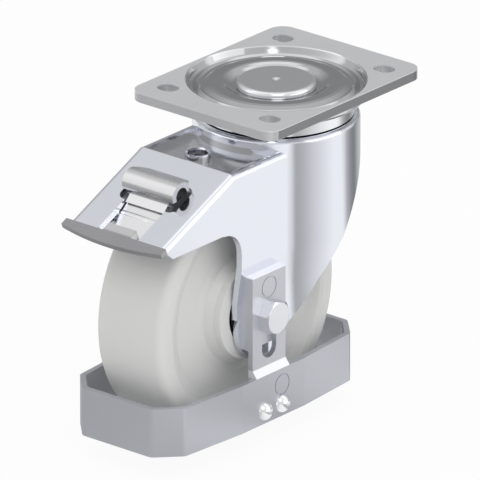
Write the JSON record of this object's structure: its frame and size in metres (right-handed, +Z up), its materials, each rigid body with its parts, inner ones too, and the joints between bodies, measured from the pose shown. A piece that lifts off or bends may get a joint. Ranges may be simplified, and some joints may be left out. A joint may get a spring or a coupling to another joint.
{
  "type": "swivel castor",
  "caption": "Plate-mounted swivel castor with a pressed fork, nylon wheel, foot brake pedal and a height-adjustable guard band round the wheel.",
  "frame": {"origin": "centre of the plate's top face, on the swivel axis", "axes": "+Z up along the swivel axis, +X along the wheel's axle, the wheel and pedal lie towards -Y"},
  "size_m": [0.111, 0.2235, 0.202],
  "materials": {
    "plate_steel": "satin zinc-plated steel",
    "bright_steel": "polished zinc-plated steel",
    "zinc_steel": "zinc-plated steel",
    "fork_steel": "bright zinc-plated pressed steel",
    "pedal_steel": "zinc-plated pressed steel",
    "guard_steel": "blue-grey zinc-plated steel",
    "ball_steel": "ground bearing steel",
    "wheel_nylon": "milky cast nylon",
    "seal_rubber": "black rubber"
  },
  "bodies": {
    "plate": {"top_plate": "plate_steel", "upper_race": "bright_steel", "dust_seal": "seal_rubber", "kingpin": "bright_steel", "lower_race": "bright_steel", "lock_ring": "zinc_steel", "kingpin_nut": "zinc_steel"},
    "swivel": {"upper_balls": "ball_steel", "lower_balls": "ball_steel", "fork": "fork_steel", "slide_guide": "zinc_steel", "pedal_pin": "zinc_steel", "axle_bolt": "zinc_steel", "axle_washer": "zinc_steel", "axle_nut": "zinc_steel", "axle_tube": "zinc_steel", "bearing_inner_rings": "ball_steel", "spacer_plates": "zinc_steel"},
    "wheel": {"wheel_body": "wheel_nylon", "bearing_outer_rings": "ball_steel", "bearing_balls": "ball_steel", "bearing_seals": "seal_rubber"},
    "pedal": {"pedal": "pedal_steel", "brake_shoe": "seal_rubber"},
    "lock": {"lock_slide": "zinc_steel", "adjusting_screw": "zinc_steel"},
    "guard": {"guard_band": "guard_steel", "near_strap": "guard_steel", "far_strap": "guard_steel", "guard_rivets": "bright_steel"}
  },
  "joints": [
    {"name": "swivel", "type": "hinge", "parent": "plate", "child": "swivel", "pos_m": [0, 0, 0], "axis": [0, 0, 1], "continuous": true},
    {"name": "wheel_spin", "type": "hinge", "parent": "swivel", "child": "wheel", "pos_m": [0, -0.0555, -0.122], "axis": [1, 0, 0], "continuous": true},
    {"name": "pedal_tilt", "type": "hinge", "parent": "swivel", "child": "pedal", "pos_m": [0, -0.12, -0.054], "axis": [1, 0, 0], "range_deg": [0, 25]},
    {"name": "lock_travel", "type": "slide", "parent": "swivel", "child": "lock", "axis": [0, 1, 0], "range_m": [0, 0.0038]},
    {"name": "guard_height", "type": "slide", "parent": "swivel", "child": "guard", "axis": [0, 0, 1], "range_m": [0, 0.02]}
  ],
  "couplings": [
    {"joint": "lock_travel", "follows": "pedal_tilt", "m_per_rad": 0.0087}
  ]
}
